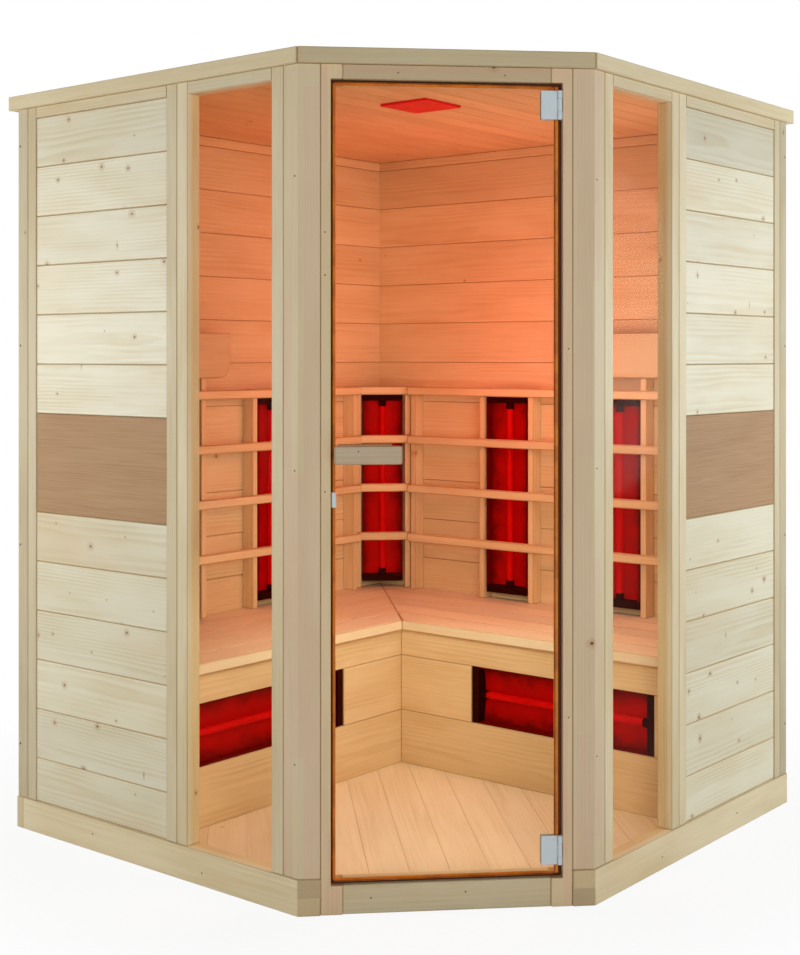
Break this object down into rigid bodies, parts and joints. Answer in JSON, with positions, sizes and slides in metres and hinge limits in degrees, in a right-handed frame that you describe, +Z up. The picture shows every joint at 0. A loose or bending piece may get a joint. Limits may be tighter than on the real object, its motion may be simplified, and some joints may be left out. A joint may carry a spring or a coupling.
{
  "type": "infrared sauna cabin",
  "caption": "Five-sided wooden corner cabin with a hinged glass door, fixed side windows, brown accent boards, a corner bench and red infrared emitters behind slatted backrests.",
  "frame": {"origin": "on the floor, under the middle of the whole cabin from the outside handle to the roof's back corner", "axes": "+Z up; the glass door faces -Y; +X towards the hinge side of the door"},
  "size_m": [2.1214, 1.8184, 1.9],
  "materials": {
    "frame_wood": "bare planed spruce",
    "post_wood": "bare planed spruce",
    "plank_wood": "bare planed spruce, knotty",
    "accent_wood": "brown wood board, fine grain",
    "roof_wood": "bare planed spruce",
    "inner_wood": "bare planed spruce in warm light",
    "handle_wood": "planed wood, satin",
    "window_glass": "clear",
    "door_glass": "clear toughened",
    "hinge_metal": "satin",
    "magnet": "dark grey",
    "seal": "dark brown, matt",
    "emitter": "glowing red",
    "lamp": "red cover, lit",
    "control": "satin black"
  },
  "bodies": {
    "cabin": {"base_beam_left": "frame_wood", "base_beam_right": "frame_wood", "base_beam_back_left": "frame_wood", "base_beam_back_right": "frame_wood", "door_threshold": "frame_wood", "window_stile_left": "frame_wood", "window_stile_right": "frame_wood", "mid_post_left": "frame_wood", "mid_post_right": "frame_wood", "rear_post_left": "frame_wood", "rear_post_right": "frame_wood", "window_rail_left": "frame_wood", "window_rail_right": "frame_wood", "corner_post_left": "post_wood", "corner_post_right": "post_wood", "door_jamb_left": "post_wood", "door_jamb_right": "post_wood", "door_head": "post_wood", "plank_wall_left": "plank_wood", "plank_wall_right": "plank_wood", "accent_board_left": "accent_wood", "accent_board_right": "accent_wood", "roof_cover": "roof_wood", "fascia_front": "roof_wood", "fascia_left": "roof_wood", "fascia_right": "roof_wood", "floor_panel": "inner_wood", "ceiling_panel": "inner_wood", "backrest_corner": "inner_wood", "back_wall_left": "inner_wood", "back_wall_right": "inner_wood", "bench_seat_left": "inner_wood", "bench_seat_right": "inner_wood", "bench_front_left": "inner_wood", "bench_front_right": "inner_wood", "backrest_left": "inner_wood", "backrest_right": "inner_wood", "window_pane_left": "window_glass", "window_pane_right": "window_glass", "hinge_upper_leaf": "hinge_metal", "hinge_upper_pin": "hinge_metal", "hinge_lower_leaf": "hinge_metal", "hinge_lower_pin": "hinge_metal", "catch_magnet": "magnet", "door_seal": "seal", "emitter_corner": "emitter", "emitter_left_inner": "emitter", "emitter_left_outer": "emitter", "emitter_right_inner": "emitter", "emitter_right_outer": "emitter", "emitter_calf_left": "emitter", "emitter_calf_right": "emitter", "ceiling_lamp": "lamp", "control_unit": "control"},
    "door": {"door_glass": "door_glass", "handle_outside": "handle_wood", "handle_inside": "handle_wood", "catch_plate": "hinge_metal", "hinge_upper_clamp": "hinge_metal", "hinge_lower_clamp": "hinge_metal"}
  },
  "joints": [
    {"name": "door_hinge", "type": "hinge", "parent": "cabin", "child": "door", "pos_m": [0.2515, -0.87021, 0.9535], "axis": [0, 0, 1], "range_deg": [0, 110]}
  ]
}
